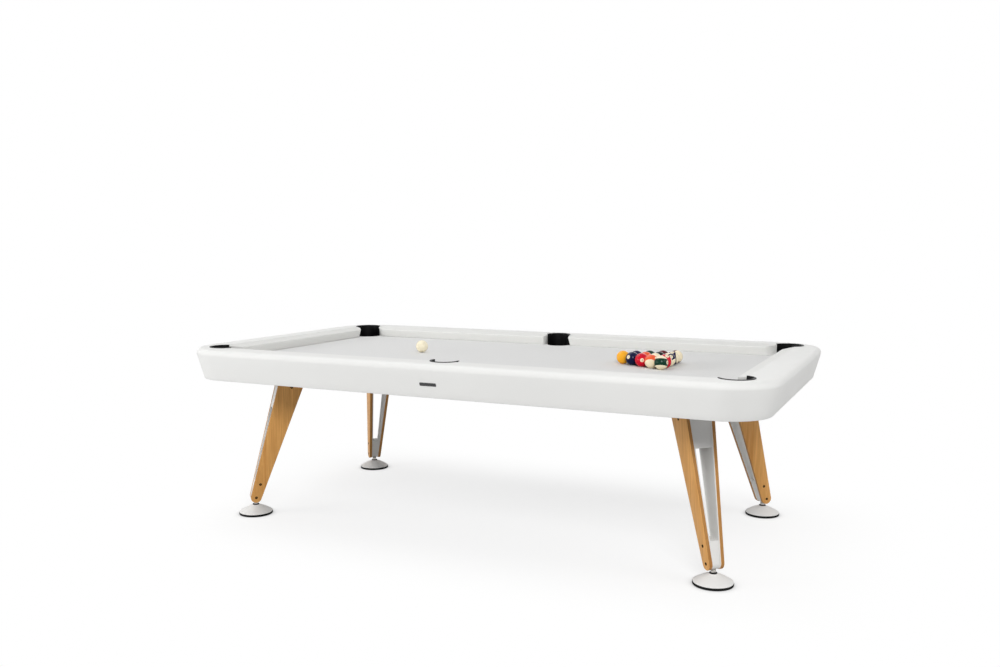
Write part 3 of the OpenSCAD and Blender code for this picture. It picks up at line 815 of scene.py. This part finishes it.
def leg_outline(inset, depth):
    """Outline of a panel at a depth below its outer face, drawn in by an inset."""
    r = LEG_END_R - inset
    top = (LEG_TOP_Z - LEG_END_Z - depth * math.sin(SPLAY)) / math.cos(SPLAY)
    outer = (r * math.cos(OUTER_LEAN), r * math.sin(OUTER_LEAN))
    inner = (-r * math.cos(INNER_LEAN), -r * math.sin(INNER_LEAN))
    points = [(inner[0] - (top - inner[1]) * math.tan(INNER_LEAN), top)]
    points += arc((0, 0), r, math.pi + INNER_LEAN, 2 * math.pi + OUTER_LEAN, LEG_END_STEPS)
    points.append((outer[0] - (top - outer[1]) * math.tan(OUTER_LEAN), top))
    return points


def panel_mesh(name, side):
    """Panel with rounded edges on both faces."""
    levels = [(PANEL_EDGE * (1 - math.sin(a)), PANEL_EDGE * (1 - math.cos(a))) for a in QUARTER]
    levels += [(inset, PANEL_T - depth) for inset, depth in levels[::-1]]
    return rings_mesh(name, [[(x, y, side * depth) for x, y in leg_outline(inset, depth)]
                             for inset, depth in levels])


def screw_places():
    """Two screws near a panel's lower end and one near its top, on its middle line."""
    lean = (OUTER_LEAN + INNER_LEAN) / 2
    top_run = (FLANGE_Z - TOP_SCREW_DROP - LEG_END_Z) / math.cos(lean)
    for run, inward in ((0, 0), (SCREW_SPACING, 0), (top_run, TOP_SCREW_IN)):
        yield -run * math.sin(lean) - inward, run * math.cos(lean)


def screw_mesh():
    """Button head with a hexagon socket on a thin washer."""
    washer = [(WASHER_R, -SCREW_SINK), (WASHER_R, 0.0002), (WASHER_R - 0.0003, WASHER_H)]
    head = [(HEAD_R, WASHER_H), (HEAD_R * 0.93, 0.0010), (HEAD_R * 0.75, 0.0014), (HEAD_R * 0.5, HEAD_H)]
    rings = [[polar(r, a, z) for a in turns(SCREW_STEPS)] for r, z in washer + head]
    sector = math.pi / 3
    for z in (HEAD_H, HEX_FLOOR):
        rings.append([polar(HEX_R / math.cos(a % sector - sector / 2), a, z) for a in turns(SCREW_STEPS)])
    return rings_mesh("screw", rings)


screw = screw_mesh()
screws = []
for leg, (sx, sy) in LEGS.items():
    for side, word in ((1, "left"), (-1, "right")):
        name = "leg_wood_%s_%s" % (leg, word)
        piece = link(name, panel_mesh(name, side), leg_wood, smooth_angle=45)
        piece.matrix_world = panel_frame(sx, sy, side)
        place(piece, "table", "leg_wood", "leg_panel_%s_%s" % (leg, word))
        for x, y in screw_places():
            copy = screw.copy()
            copy.transform(panel_frame(sx, sy, side) @ Matrix.Translation((x, y, 0))
                           @ Matrix.Rotation(math.pi if side > 0 else 0, 4, "X"))
            screws.append(copy)
screw_set = link("panel_screw_set", joined("panel screws", screws), screw_black, smooth_angle=35)
place(screw_set, "table", "black_screw", "panel_screws")


# Levelling feet

def cone_profile():
    """Shallow cone with an eased rim and a blind bore for the stud."""
    rim, low = CONE_RIM_R, PAD_H
    edge = [(rim - 0.0006, low), (rim, low + 0.0008), (rim, low + 0.0018), (rim - 0.0002, low + 0.0026)]
    side = []
    for i in range(1, CONE_STEPS + 1):
        t = i / CONE_STEPS
        rise = CONE_RIM_H + (CONE_H - CONE_RIM_H) * t + CONE_SWELL * math.sin(math.pi * t)
        side.append((rim + (CONE_TOP_R - rim) * t, low + rise))
    return [(0, low)] + edge + side + [(BORE_R, CONE_Z), (BORE_R, SOCKET_Z), (0, SOCKET_Z)]


def pad_profile():
    """Round pad with eased edges and a groove round its side."""
    r, groove = FOOT_D / 2, FOOT_D / 2 - 0.0008
    low_edge = [(r - 0.0022, 0), (r - 0.0008, 0.0006), (r, 0.002)]
    groove_walls = [(r, 0.0042), (groove, 0.0046), (groove, 0.0052), (r, 0.0056)]
    high_edge = [(r, PAD_H - 0.0012), (r - 0.0007, PAD_H - 0.0003), (r - 0.0018, PAD_H)]
    return [(0, 0)] + low_edge + groove_walls + high_edge + [(0, PAD_H)]


def bush_profile():
    """Collar round the stud on top of the cone, with eased upper edges."""
    inner, high = STUD_D / 2 + BUSH_GAP, CONE_Z + BUSH_H
    return [(inner, CONE_Z), (BUSH_R, CONE_Z), (BUSH_R, high - 0.001), (BUSH_R - 0.0012, high),
            (inner + 0.0008, high), (inner, high - 0.0006)]


def thread_dip(phase):
    """Share of the thread's depth at a phase of its turn, with flat crests and roots."""
    rise, crest = 1.25, 0.12
    return min(1, max(0, rise * (1 - abs(2 * phase - 1)) - crest))


def stud_mesh(name):
    """Stud with a plain shank, two spanner flats and a rolled thread."""
    thread_end = STUD_TOP - STUD_CHAMFER
    heights = [STUD_SEAT, STUD_SEAT + STUD_CHAMFER, FLAT_LOW - FLAT_EDGE, FLAT_LOW, FLAT_HIGH,
               FLAT_HIGH + FLAT_EDGE]
    z = THREAD_START
    while z < thread_end:
        heights.append(z)
        z += THREAD_PITCH / THREAD_STEPS
    heights += [thread_end, STUD_TOP]
    rings = []
    for h in heights:
        ring = []
        for i, a in enumerate(turns(STUD_STEPS)):
            r = STUD_R
            if FLAT_LOW <= h <= FLAT_HIGH:
                r = min(r, FLAT_W / 2 / max(ALMOST_ZERO, abs(math.cos(a))))
            elif THREAD_START <= h <= thread_end:
                r -= THREAD_DEPTH * thread_dip((h / THREAD_PITCH - i / STUD_STEPS) % 1)
            elif h in (STUD_SEAT, STUD_TOP):
                r -= STUD_CHAMFER
            ring.append(polar(r, a, h))
        rings.append(ring)
    return rings_mesh(name, rings)


for leg, (sx, sy) in LEGS.items():
    dome = lathe_mesh("foot dome", cone_profile(), FOOT_STEPS)
    tread = lathe_mesh("foot tread", pad_profile(), FOOT_STEPS)
    bush = ring_mesh("foot bush", bush_profile(), BUSH_STEPS)
    for word, mesh, material, body, slot, nodes in (
        ("foot_dome_", dome, foot_paint, "foot_", "foot_paint", ["foot_"]),
        ("foot_tread_", tread, pad_black, "foot_", "pad_rubber", ["foot_pad_"]),
        ("foot_bush_", bush, pad_black, "foot_", "pad_rubber", []),
        ("level_stud_", stud_mesh("stud"), stud_steel, "stud_", "stud_steel", ["stud_"]),
    ):
        piece = link(word + leg, mesh, material)
        piece.matrix_world = leg_frame_of(sx, sy)
        place(piece, body + leg, slot, *[node + leg for node in nodes])


# Badge plate, left bare

def badge_outline(inset):
    w, h, r = BADGE_HALF_W - inset, BADGE_HALF_H - inset, BADGE_R - inset / 2
    outline = []
    for n, (sx, sy) in enumerate(((1, 1), (-1, 1), (-1, -1), (1, -1))):
        outline += arc((sx * (w - r), sy * (h - r)), r, math.pi / 2 * n, math.pi / 2 * (n + 1), BADGE_STEPS)
    return outline


def badge_mesh():
    """Thin plate with round corners and an eased front edge."""
    levels = ((0, 0), (0, BADGE_T - 0.0006), (0.0002, BADGE_T - 0.0002), (0.0006, BADGE_T))
    return rings_mesh("badge", [[(x, y, z) for x, y in badge_outline(inset)] for inset, z in levels])


badge = link("badge_plate", badge_mesh(), badge_black)
wall_top_y = HALF_W - EDGE_R * (1 - math.cos(APRON_SLANT))
wall_top_z = TOP_Z - EDGE_R * (1 + math.sin(APRON_SLANT))
badge_y = (wall_top_z - BADGE_Z) * math.tan(APRON_SLANT) - wall_top_y
badge.matrix_world = (Matrix.Translation((BADGE_X, badge_y, BADGE_Z))
                      @ Matrix.Rotation(math.pi / 2 + APRON_SLANT, 4, "X"))
place(badge, "table", "black_screw")

# Balls

SOLIDS = {
    1: linear(252, 178, 40), 2: linear(5, 14, 60), 3: linear(210, 8, 40), 4: linear(26, 14, 64),
    5: linear(240, 98, 54), 6: linear(0, 54, 36), 7: linear(92, 8, 22), 8: linear(5, 5, 6),
}
LAST_SOLID = 8
CUE_IVORY = linear(250, 240, 212)
RACK = ((1,), (2, 4), (3, 5, 6), (13, 9, 8, 7), (14, 11, 10, 12, 15))
# Direction of a ball's number field and of its stripe's axis, for those that show
AIM = {
    2: ((-0.40, -0.92, 0.33), (0.2, 0, 1)),
    3: ((0.33, -0.93, 0.08), (0, 0.2, 1)),
    10: ((-0.7, 0.2, 0.6), (0.66, -0.10, -0.74)),
    11: ((0.3, -0.5, 0.8), (0.68, 0.73, 0.02)),
    12: ((0, -0.4, 0.9), (0.9, 0.3, 0.1)),
    13: ((0.5, 0.4, 0.75), (0.08, -0.80, -0.59)),
    14: ((-0.9, 0.2, 0.1), (0.06, -0.30, -0.94)),
    15: ((-0.3, -0.9, 0.3), (0.78, -0.45, 0.30)),
}
OTHER_AIM = ((0.94, 0.31, 0.1), (0, 0, 1))


def ball_matrix(number, x, y):
    """Place of a racked ball, with local X through its number fields and local Z along its stripe's axis."""
    field, axis = (Vector(v).normalized() for v in AIM.get(number, OTHER_AIM))
    if number > LAST_SOLID:
        field = (field - axis * field.dot(axis)).normalized()
    else:
        axis = (axis - field * axis.dot(field)).normalized()
    turn = Matrix((field, axis.cross(field), axis)).transposed().to_4x4()
    return Matrix.Translation((x, y, BALL_Z)) @ turn


def ball_mesh(name):
    rows = [math.pi * i / BALL_ROWS for i in range(BALL_ROWS + 1)]
    profile = [(BALL_R * math.sin(a), -BALL_R * math.cos(a)) for a in rows]
    return lathe_mesh(name, profile, BALL_STEPS)


def number_mesh(number):
    """Plain figures wrapped on both number fields of a ball."""
    curve = bpy.data.curves.new("figures", "FONT")
    curve.body = str(number)
    curve.align_x, curve.align_y = "CENTER", "CENTER"
    curve.size = FIGURE_H if number < 10 else TWO_FIGURES_H
    curve.resolution_u = 4
    holder = bpy.data.objects.new("figures", curve)
    scene.collection.objects.link(holder)
    flat = evaluated_mesh(holder)
    bpy.data.curves.remove(curve)
    bm = bmesh.new()
    bm.from_mesh(flat)
    bmesh.ops.triangulate(bm, faces=bm.faces)
    bmesh.ops.subdivide_edges(bm, edges=bm.edges[:], cuts=2, use_grid_fill=True)
    bm.to_mesh(flat)
    bm.free()
    both = []
    for sign in (1, -1):
        copy = flat.copy()
        for v in copy.vertices:
            out = Vector((sign, sign * v.co.x / BALL_R, v.co.y / BALL_R)).normalized()
            v.co = out * (BALL_R + FIGURE_LIFT)
        both.append(copy)
    return joined("figures", both)


for row, numbers in enumerate(RACK):
    for step, number in enumerate(numbers):
        striped = number > LAST_SOLID
        colour = SOLIDS[number - LAST_SOLID if striped else number]
        name = "ball_%02d" % number
        piece = link(name, ball_mesh(name), ball_finish(name, colour, striped), smooth_angle=180)
        piece.matrix_world = ball_matrix(number, RACK_X + row * BALL_SPACING * math.sin(math.pi / 3),
                                         (step - row / 2) * BALL_SPACING)
        place(piece, "object_balls", "coloured_balls", "object_balls")
        figures = link(name + "_figures", number_mesh(number), ink, smooth_angle=180)
        figures.matrix_world = piece.matrix_world
        place(figures, "object_balls", "coloured_balls")
cue_finish = ball_finish("ball_cue", CUE_IVORY, numbered=False)
cue = link("ball_cue", ball_mesh("ball_cue"), cue_finish, smooth_angle=180)
cue.matrix_world = Matrix.Translation((CUE_X, 0, BALL_Z))
place(cue, "cue_ball", "ivory_ball", "cue_ball")

# Floor, light and camera

FLOOR_HALF = 30
# Distances from the table's middle at which the floor's shade starts to fade and has gone
FLOOR_FADE = {"X": (0.95, 1.75), "Y": (0.45, 1.15)}
# Reach of the painted contact shade that ambient occlusion puts on the floor's glow, and the glow's strength
CONTACT_SHADE, FLOOR_GLOW = 0.03, 0.75
SKY_STRENGTH = 0.15


def floor_material():
    """Pale floor: white to the camera; near the table it darkens where the table shades it, with a real
    shadow in its diffuse part and a painted contact shade in its glow.
    """
    n = material_nodes("studio floor")
    n.set(Base_Color=grey(0.55), Roughness=0.9, Specular_IOR_Level=0.1)
    xyz = n.split(n.space())
    near = []
    for axis, (inner, outer) in FLOOR_FADE.items():
        fade = n.add("ShaderNodeMapRange", interpolation_type="SMOOTHSTEP",
                     **{"From Min": inner, "From Max": outer, "To Min": 1.0, "To Max": 0.0})
        n.join(n.math("ABSOLUTE", xyz[axis]), fade.inputs["Value"])
        near.append(fade.outputs["Result"])
    pale = n.add("ShaderNodeBsdfDiffuse", Color=grey(0.30))
    # Painted contact shade: ambient occlusion darkens the floor's glow next to the feet and under the table
    painted_contact_shade = n.add("ShaderNodeAmbientOcclusion", samples=16, Distance=CONTACT_SHADE)
    glow = n.add("ShaderNodeEmission", Color=WHITE)
    n.join(n.math("MULTIPLY", painted_contact_shade.outputs["AO"], FLOOR_GLOW), glow.inputs["Strength"])
    shaded = n.add("ShaderNodeAddShader")
    n.join(pale.outputs[0], shaded.inputs[0])
    n.join(glow.outputs[0], shaded.inputs[1])
    plain = n.add("ShaderNodeEmission", Color=WHITE, Strength=1.0)
    seen = n.blend(n.math("MULTIPLY", near[0], near[1]), plain, shaded)
    n.surface(n.blend(n.background_rays(), n.shader, seen))
    return n.owner


floor_corners = [(sx * FLOOR_HALF, sy * FLOOR_HALF, 0) for sx, sy in ((-1, -1), (1, -1), (1, 1), (-1, 1))]
floor = link("studio_floor", mesh_of("floor", floor_corners, [(0, 1, 2, 3)]), floor_material())

sky = Nodes(bpy.data.worlds.new("studio"), "Background", "World Output")
sky.set(Color=WHITE, Strength=SKY_STRENGTH)
backdrop = sky.add("ShaderNodeBackground", Color=WHITE, Strength=1.0)
sky.surface(sky.blend(sky.background_rays(), sky.shader, backdrop))
scene.world = sky.owner


def softbox(name, stand, aim, size, power):
    """Rectangular lamp at a stand, turned to a point."""
    lamp = bpy.data.lights.new(name, "AREA")
    lamp.shape = "RECTANGLE"
    lamp.size, lamp.size_y = size
    lamp.energy = power
    holder = bpy.data.objects.new(name, lamp)
    scene.collection.objects.link(holder)
    holder.location = stand
    holder.rotation_mode = "QUATERNION"
    holder.rotation_quaternion = (Vector(aim) - Vector(stand)).to_track_quat("-Z", "Y")


softbox("left key", (-4.6, -3.4, 1.7), (-0.4, -0.2, 0.5), (2.4, 2.0), power=127)
softbox("front key", (2.6, -4.4, 3.4), (0.7, -0.2, 0.6), (2.0, 1.6), power=158)
softbox("front low", (-1.6, -5.0, 0.8), (-0.4, -0.5, 0.5), (2.4, 1.2), power=22)
softbox("left top", (-1.8, 0.6, 4.2), (-0.5, 0, 0.7), (3.0, 3.0), power=70)
softbox("right", (4.6, -0.3, 3.2), (0.8, 0, 0.5), (2.2, 1.8), power=38)
softbox("right low", (5.0, 1.4, 0.6), (1.2, 0, 0.6), (2.0, 1.0), power=28)
softbox("back", (0.4, 4.6, 2.6), (0, 0, 0.7), (4.0, 2.0), power=32)

# The photograph's focal length and width in pixels, on a sensor in millimetres
FOCAL_PX, IMAGE_W, SENSOR_W = 939.93, 1000, 36
CAMERA_AT = (1.78796, -3.82651, 1.23596)
AZIMUTH, ELEVATION = math.radians(25.585), math.radians(5.482)

camera_data = bpy.data.cameras.new("camera")
camera_data.sensor_width = SENSOR_W
camera_data.lens = FOCAL_PX * SENSOR_W / IMAGE_W
camera_data.clip_end = 200
camera = bpy.data.objects.new("camera", camera_data)
scene.collection.objects.link(camera)
level = math.cos(ELEVATION)
back = Vector((math.sin(AZIMUTH) * level, -math.cos(AZIMUTH) * level, math.sin(ELEVATION)))
camera.location = CAMERA_AT
camera.rotation_mode = "QUATERNION"
camera.rotation_quaternion = (-back).to_track_quat("-Z", "Y")
scene.camera = camera
scene.view_settings.view_transform = "Standard"
